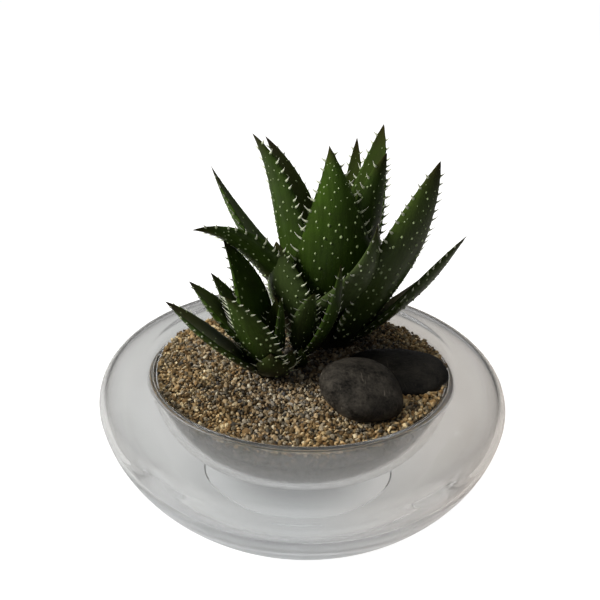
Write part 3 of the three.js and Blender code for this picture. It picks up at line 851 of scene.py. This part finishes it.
def make_grains():
    """Every grain is an icosahedron whose points are pushed in and out at random, squashed and
    turned at random. No point comes nearer to the glass than the wall gap."""
    rng = np.random.default_rng(5)
    places = grain_places(rng)
    count = len(places)
    shape, faces = grain_shape()
    shapes = shape[None] * rng.uniform(*GRAIN_BUMPS, (count, len(shape), 1))
    size = GRAIN_SIZE * np.clip(np.exp(rng.normal(0.02, 0.28, count)), 0.55, 1.9)
    sizes = size[:, None] * np.stack([rng.uniform(*side, count) for side in GRAIN_SIDES], -1)
    points = repeated(shapes, places, random_turns(rng, count), sizes)
    points[..., 2] = np.maximum(points[..., 2], SOIL_TOP + SEAT_GAP)
    reach = np.hypot(points[..., 0], points[..., 1]) + 1e-9
    points[..., :2] *= np.minimum(1, filling_radius(points[..., 2]) / reach)[..., None]
    tone = rng.uniform(0, 1, count)
    kind = rng.choice(len(GRAIN_KINDS), count, p=[share for share, _, _ in GRAIN_KINDS.values()])
    for index, (name, (_, dark, light)) in enumerate(GRAIN_KINDS.items()):
        chosen = kind == index
        piece = mesh_object(
            name, points[chosen].reshape(-1, 3), copied([faces], chosen.sum(), len(shape)),
            smooth=False, values={"tone": np.repeat(tone[chosen], len(shape))},
        )
        dress(piece, ["gravel"], grain_stone(name, dark, light))


# The pebbles


def pebble_turn(turn):
    """The matrix that turns about X, then Y, then Z."""
    x, y, z = (Matrix.Rotation(math.radians(a), 3, axis) for a, axis in zip(turn, "XYZ"))
    return np.array(z @ y @ x)


def make_pebble(name, stone):
    """A sphere squashed to its half sizes and fuller than an ellipsoid, with one end broader and
    a slow, shallow relief."""
    angle = np.linspace(0, math.pi, 62)
    points, faces = turned(np.stack([np.sin(angle), np.cos(angle)], -1), 120)
    plump = (points**4).sum(1) ** -PEBBLE_PLUMPNESS
    worn = points * plump[:, None] * np.array(stone["half"])
    worn[:, 1] *= 1 + stone["egg"] * points[:, 0]
    seed = stone["seed"]
    worn *= 1 + (0.011 * waves(worn, 16.0, seed) + 0.004 * waves(worn, 5.0, seed + 1))[:, None]
    placed = worn @ pebble_turn(stone["turn"]).T + stone["centre"]
    material = river_stone(stone["finish"], stone["dark"], stone["light"], stone["roughness"])
    dress(mesh_object(name + "_worn", placed, faces), [name], material)


# The plant


def width_share(s, taper):
    """Sides that swell from the tip to the widest part and are drawn in at the root. The larger
    the taper, the more slender the tip."""
    run = 1.7 * np.maximum(0, 1 - s) ** taper
    return run / (1 + run**6) ** (1 / 6) * (1 - 0.35 * np.maximum(0, 1 - s / 0.22) ** 2)


def thickness_share(s):
    """Full thickness up to the last third, then thinner to the tip."""
    run = 2.6 * (1 - s)
    return run / (1 + run**4) ** 0.25


class Leaf:
    """A leaf's midline and its frame. The slope is rise + bend s + curl s^2 and the heading is
    azimuth + swing s, with s from root 0 to tip 1; the midline is the sum of short steps."""

    def __init__(self, foot, row, rng, taper):
        azimuth, rise, bend, curl, swing, twist, self.length, self.width, out, up = row
        s = np.linspace(0, 1, LEAF_STEPS + 1)
        slope = np.radians(rise + bend * s + curl * s * s)
        heading = np.radians(azimuth + swing * s)
        self.s = s
        self.along = polar(np.cos(slope), heading, np.sin(slope))
        level = np.stack([-np.sin(heading), np.cos(heading), 0 * heading], -1)
        roll = np.radians(twist * s)[:, None]
        self.across = level * np.cos(roll) + np.cross(self.along, level) * np.sin(roll)
        self.inward = np.cross(self.along, self.across)
        first = math.radians(azimuth)
        root = np.array(foot, float) + [out * math.cos(first), out * math.sin(first), up]
        steps = np.cumsum(self.along[:-1] * self.length / LEAF_STEPS, axis=0)
        self.midline = root + np.concatenate([np.zeros((1, 3)), steps])
        self.half_width = width_share(s, taper) * self.width / 2
        self.thickness = thickness_share(s) * self.width * LEAF_THICKNESS
        first, last = TOOTH_RANGE
        count = max(3, round((last - first) * self.length / TOOTH_SPACING))
        index = np.arange(count)
        self.teeth = {
            side: first + (last - first) * (index + stagger + rng.uniform(-0.2, 0.2, count)) / count
            for side, stagger in ((-1, 0.25), (1, 0.75))
        }

    def swell(self, s, side):
        """How far the edge stands out where teeth are: bell curves along it, one for each tooth."""
        out = 0
        for sign, places in self.teeth.items():
            off = (s[:, None] - places) * self.length / SWELL_REACH
            bells = np.exp(-off * off).sum(1)
            out = out + bells * np.maximum(0, side * sign) ** 3 * sign
        return out * SWELL_HEIGHT * np.minimum(1, self.width / 28) * (1 - 0.6 * s)

    def at(self, s):
        """The midline, along, across, inward, half width and thickness at any s."""
        step = np.asarray(s) * LEAF_STEPS
        low = np.clip(step.astype(int), 0, LEAF_STEPS - 1)
        part = step - low

        def between(numbers):
            share = part.reshape(part.shape + (1,) * (numbers.ndim - 1))
            return numbers[low] * (1 - share) + numbers[low + 1] * share

        parts = (self.midline, self.along, self.across, self.inward, self.half_width, self.thickness)
        return tuple(between(numbers) for numbers in parts)

    def surface(self, s, side, outer):
        """Points of the outer face, a half ellipse, or of the inner face, a shallow channel.
        side runs from -1 to 1 across the blade."""
        midline, _, across, inward, half_width, thickness = self.at(s)
        round_depth = np.sqrt(np.maximum(0, 1 - side**2))
        depth = thickness * np.where(outer, round_depth, CHANNEL_DEPTH * (1 - side**2))
        out = side * half_width + self.swell(s, side)
        return midline + across * out[:, None] - inward * depth[:, None]

    def normal(self, s, side, outer):
        """Out of the face: the cross product of two short steps on it."""
        step = 0.01
        along = self.surface(s + step, side, outer) - self.surface(s - step, side, outer)
        across = self.surface(s, side + step, outer) - self.surface(s, side - step, outer)
        return unit(np.cross(across, along) * np.where(outer, 1, -1)[:, None])


def blade(leaf, index):
    """Closed sections from root to tip: the outer face from one edge to the other, and the inner
    face back, closed by a point at each end. Also gives the blade's flat map, its share of the
    length, and how readily it turns brown."""
    angle = np.linspace(0, math.pi, OUTER_STEPS + 1)
    sides = np.concatenate([np.cos(angle), np.linspace(-1, 1, INNER_STEPS + 1)[1:-1]])
    outer = np.arange(len(sides)) <= OUTER_STEPS
    stations = leaf.s[:-1]
    s, side = np.meshgrid(stations, sides, indexing="ij")
    face = np.broadcast_to(outer, s.shape).ravel()
    rings = leaf.surface(s.ravel(), side.ravel(), face)
    points = np.concatenate([leaf.midline[:1], rings, leaf.midline[-1:]])
    half = np.repeat(leaf.half_width[:-1], len(sides))
    flat = np.stack([side.ravel() * half, s.ravel() * leaf.length], -1)
    flat[:, 0] += np.where(face, 0, INNER_SHIFT)
    flat = np.concatenate([[[0, 0]], flat, [[0, leaf.length]]]) + np.array(LEAF_SHIFT) * index
    share = np.concatenate([[0], s.ravel(), [1]])
    inner = np.concatenate([[0], np.where(face, 0.12, 1.0), [0.5]])
    return points, ring_faces(len(stations), len(sides)), flat, share, inner * (0.35 + 0.65 * share)


def horn(sides, rings, fullness):
    """A pointed form, its root at 0 and its tip at 1 on Z, whose radius falls as one minus the
    height, to the power of its fullness: 1 is a cone, and less is rounder."""
    t = np.linspace(0, 1, rings + 1)[:-1]
    angle = np.arange(sides) * TAU / sides
    body = polar((1 - t)[:, None] ** fullness, angle, t[:, None]).reshape(-1, 3)
    points = np.concatenate([[[0, 0, 0]], body, [[0, 0, 1]]])
    return points, ring_faces(rings, sides)


def tooth_rows(leaf, rng):
    """Where the teeth stand on both edges: seat, direction, lean, height and radius."""
    size = min(1, 0.45 + leaf.width / 45)
    rows = []
    for side, s in leaf.teeth.items():
        count = len(s)
        _, along, across, inward, half_width, _ = leaf.at(s)
        seat = leaf.surface(s, np.full(count, 0.96 * side), np.full(count, True))
        way = across * side + along * 0.35 + inward * 0.2 + rng.normal(0, 0.08, (count, 3))
        height = TOOTH_LENGTH * size * (1 - 0.6 * s * s) * rng.uniform(0.8, 1.15, count)
        radius = np.minimum(TOOTH_RADIUS * size, half_width * 0.4 + 0.1)
        rows.append((seat, way, along, height, radius))
    return tuple(np.concatenate(part) for part in zip(*rows))


def standing(way, lean):
    """Turning matrices whose Z is the way, and whose X is the lean made square to it."""
    z = unit(way)
    x = unit(lean - z * (lean * z).sum(1)[:, None])
    return np.stack([x, np.cross(z, x), z], -1)


def spikes(shape, faces, seat, way, lean, height, radius, bend, sink, stretch):
    """Copies of a horn on their seats, sunk by their sink, stretched along the lean at the root,
    and bent towards the lean with the square of the height."""
    bent = np.repeat(shape[None], len(seat), 0)
    bent[..., 0] *= stretch
    bent[..., 0] += (bend / radius)[:, None] * height[:, None] * bent[..., 2] ** 2
    sizes = np.stack([radius, radius, height + sink], -1)
    turns = standing(way, lean)
    places = seat - turns[..., 2] * sink
    return repeated(bent, places, turns, sizes), copied(faces, len(seat), len(shape))


def tubercle_rows(leaf, rng, kept):
    """Staggered rows of dots over the outer face, fewer on the inner one."""
    rows = []
    for outer, across_pitch, along_pitch in ((True, 1.0, 1.0), (False, 1.35, 1.7)):
        pitch = TUBERCLE_SPACING
        lines = max(1, round(leaf.width * 1.15 / (pitch * across_pitch)))
        count = max(2, round(0.82 * leaf.length / (pitch * along_pitch)))
        line, i = np.meshgrid(np.arange(lines), np.arange(count), indexing="ij")
        side = (line + 0.5) / lines * 1.7 - 0.85
        side = np.sin(side * math.pi / 2 * 0.93) + rng.uniform(-0.09, 0.09, side.shape)
        s = 0.08 + 0.82 * (i + 0.5 * (line % 2) + rng.uniform(0, 0.45, side.shape)) / count
        keep = (rng.uniform(0, 1, s.shape) < kept) & (np.abs(side) < 0.9) & (s < 0.93)
        rows.append((s[keep], side[keep], np.full(keep.sum(), outer)))
    s, side, outer = (np.concatenate(part) for part in zip(*rows))
    _, along, _, _, half_width, _ = leaf.at(s)
    radius = TUBERCLE_RADIUS * rng.uniform(0.6, 1.3, len(s)) * np.minimum(1, 0.45 + half_width / 22)
    way = leaf.normal(s, side, outer)
    return leaf.surface(s, side, outer), way, along, radius * rng.uniform(0.6, 1.1, len(s)), radius


def make_rosette(name, plant, finishes):
    """The leaves, their teeth and their dots, and the stem, as four pieces."""
    rng = np.random.default_rng(plant["seed"])
    taper = plant.get("taper", {})
    leaves = [
        Leaf(plant["foot"], row, rng, taper.get(i, LEAF_TAPER)) for i, row in enumerate(plant["leaves"])
    ]
    clouds, blocks, flats, shares, browns = zip(*(blade(leaf, i) for i, leaf in enumerate(leaves)))
    points, faces = joined(zip(clouds, blocks))
    pale, brown = plant.get("pale", {}), plant.get("brown", {})
    values = {
        "share": shares,
        "pallor": [np.full(len(s), pale.get(i, rng.uniform(*PALLOR))) for i, s in enumerate(shares)],
        "brownness": [b * brown.get(i, BROWNNESS) for i, b in enumerate(browns)],
    }
    values = {key: np.concatenate(parts) for key, parts in values.items()}
    made = mesh_object(name + "_leaves", points, faces, values=values, uv=np.concatenate(flats))
    dress(made, [name], finishes["skin"])

    shape, horn_faces = horn(6, 4, 1.0)
    teeth = [spikes(shape, horn_faces, *tooth_rows(leaf, rng), **TOOTH_STANCE) for leaf in leaves]
    points, faces = joined(teeth)
    reach = np.tile(shape[:, 2], len(points) // len(shape))
    made = mesh_object(name + "_teeth", points, faces, values={"reach": reach})
    dress(made, [name], finishes["tooth"])

    shape, horn_faces = horn(8, 3, 0.5)
    kept = plant.get("dots", DOTS_KEPT)
    dots = [spikes(shape, horn_faces, *tubercle_rows(leaf, rng, kept), **DOT_STANCE) for leaf in leaves]
    points, faces = joined(dots)
    dress(mesh_object(name + "_dots", points, faces), [name], finishes["dot"])

    foot, radius = plant["foot"], plant["stem_radius"]
    top = foot[2] + plant["crown_height"]
    profile = np.array([
        [0, STEM_FOOT], [STEM_TAPER * 0.6, STEM_FOOT], [STEM_TAPER, STEM_FOOT + 1.5],
        [0.8, (STEM_FOOT + foot[2]) / 2], [1, foot[2]], [0.97, foot[2] + 4],
        [0.8, (foot[2] + top) / 2], [STEM_TAPER, top - 1], [0, top],
    ]) * [radius, 1]
    points, faces = turned(profile, 40)
    points = points + [foot[0], foot[1], 0]
    made = mesh_object(name + "_stem", points, [block[:, ::-1] for block in faces])
    dress(made, [name], finishes["stem"])


def make_plant():
    """The three rosettes, with the same four finishes: the dots are pale, and the stems dry brown
    with green patches."""
    finishes = {
        "skin": leaf_skin(),
        "tooth": tooth_skin(),
        "dot": speckled("dot_skin", 0.5, 900.0, 2.0, (0.30, 0.40, 0.17), (0.56, 0.66, 0.38)),
        "stem": speckled("stem_skin", 0.8, 300.0, 4.0, (0.02, 0.018, 0.010), (0.07, 0.07, 0.03)),
    }
    for name, plant in ROSETTES.items():
        make_rosette(name, plant, finishes)


# The studio


def area_light(name, place, size, power, colour):
    """A soft square light at a place in metres that faces the plant."""
    lamp = bpy.data.lights.new(name, "AREA")
    lamp.shape = "SQUARE"
    lamp.size = size
    lamp.energy = power
    lamp.color = colour
    made = new_object(name, lamp)
    made.location = place
    made.rotation_euler = (Vector(LIGHT_AIM) - Vector(place)).to_track_quat("-Z", "Y").to_euler()
    made.visible_glossy = False
    made.visible_transmission = False


def set_floor():
    """A pale card that is lit from behind: it is white where it is seen directly and greyer through
    the glass, most of all far away and under the bowl's middle, where the grey is a painted shadow;
    cool in the middle and warm on the right. It gives back only part of the light that falls on it."""
    disc = np.array([[0, 0], [300, 0], [3000, 0], [20000, 0], [0, -500]], float)
    points, faces = turned(disc, 96)
    floor = mesh_object("floor", points, [block[:, ::-1] for block in faces], smooth=False)
    material = bpy.data.materials.new("floor_card")
    tree = empty_tree(material)
    path = node(tree, "LightPath").outputs
    direct = maths(tree, "MULTIPLY", path["Is Camera Ray"], FLOOR_GLOW_DIRECT)
    through = maths(tree, "MAXIMUM", path["Is Transmission Ray"], path["Is Glossy Ray"])
    reach = FLOOR_GLOW[-1][0]
    away = maths(tree, "DIVIDE", distance(tree), reach)
    # Painted shadow: the glow through the glass is lowest under the bowl's middle
    shade = ramp(tree, away, *((radius / reach, glow) for radius, glow in FLOOR_GLOW))
    glow = maths(tree, "MULTIPLY_ADD", through, shade, direct)
    side = share_between(tree, coordinate(tree, "X"), -300, 300)
    cast = ramp(
        tree, side, (0.2, (1.0, 1.0, 0.98)), (0.5, (0.955, 0.985, 1.0)), (0.66, (0.97, 0.90, 0.83)),
    )
    tint = mixed(tree, through, 1, cast)
    light = node(tree, "Emission", {"Color": tint, "Strength": glow})
    tone = mixed(tree, through, FLOOR_TONE, FLOOR_TONE_THROUGH)
    matt = node(tree, "BsdfDiffuse", {"Color": tone})
    both = node(tree, "AddShader", {0: light.outputs[0], 1: matt.outputs[0]})
    node(tree, "OutputMaterial", {"Surface": both.outputs[0]})
    floor.data.materials.append(material)


def set_studio():
    """Soft lights from the left and above. The room is white to the camera, dim to all else, and
    pale grey through the glass, with a dark card on either side that draws the glass's edges. What
    stands behind the glass is lit by a brighter room, because glass holds back the lamps."""
    world = bpy.data.worlds.new("studio")
    bpy.context.scene.world = world
    tree = empty_tree(world)
    way = node(tree, "TexCoord").outputs["Generated"]
    parts = node(tree, "SeparateXYZ", {0: way}).outputs
    room = ramp(tree, parts["Z"], (0.0, (0.45, 0.45, 0.46)), (0.4, (0.75, 0.75, 0.77)), (0.9, 1))
    sideways = maths(tree, "ABSOLUTE", parts["X"])
    cards = ramp(tree, sideways, (0.45, 1), (0.75, ROOM_SIDES))
    room = mixed(tree, 1.0, room, cards, "MULTIPLY")
    path = node(tree, "LightPath").outputs
    share = maths(tree, "MULTIPLY_ADD", path["Is Glossy Ray"], ROOM_MIRRORED - ROOM_LIGHT, ROOM_LIGHT)
    dim = node(tree, "Background", {"Color": room, "Strength": share})
    inside = maths(tree, "MINIMUM", path["Diffuse Depth"], 1.0)
    reached = maths(tree, "MULTIPLY_ADD", inside, ROOM_INSIDE - ROOM_THROUGH, ROOM_THROUGH)
    through = node(tree, "Background", {"Color": cards, "Strength": reached})
    seen = node(tree, "Background", {"Color": (1, 1, 1, 1), "Strength": 1.0})
    ways = {0: path["Is Transmission Ray"], 1: dim.outputs[0], 2: through.outputs[0]}
    shown = node(tree, "MixShader", ways).outputs[0]
    both = node(tree, "MixShader", {0: path["Is Camera Ray"], 1: shown, 2: seen.outputs[0]})
    node(tree, "OutputWorld", {"Surface": both.outputs[0]})
    for name, light in LIGHTS.items():
        area_light(name, **light)
    scene = bpy.context.scene
    scene.view_settings.view_transform = "Standard"
    for kind in ("max_bounces", "transmission_bounces", "glossy_bounces"):
        setattr(scene.cycles, kind, LIGHT_BOUNCES)


set_camera()
make_bowl()
make_soil()
make_gravel_bed()
make_grains()
for pebble, stone in PEBBLES.items():
    make_pebble(pebble, stone)
make_plant()
set_floor()
set_studio()
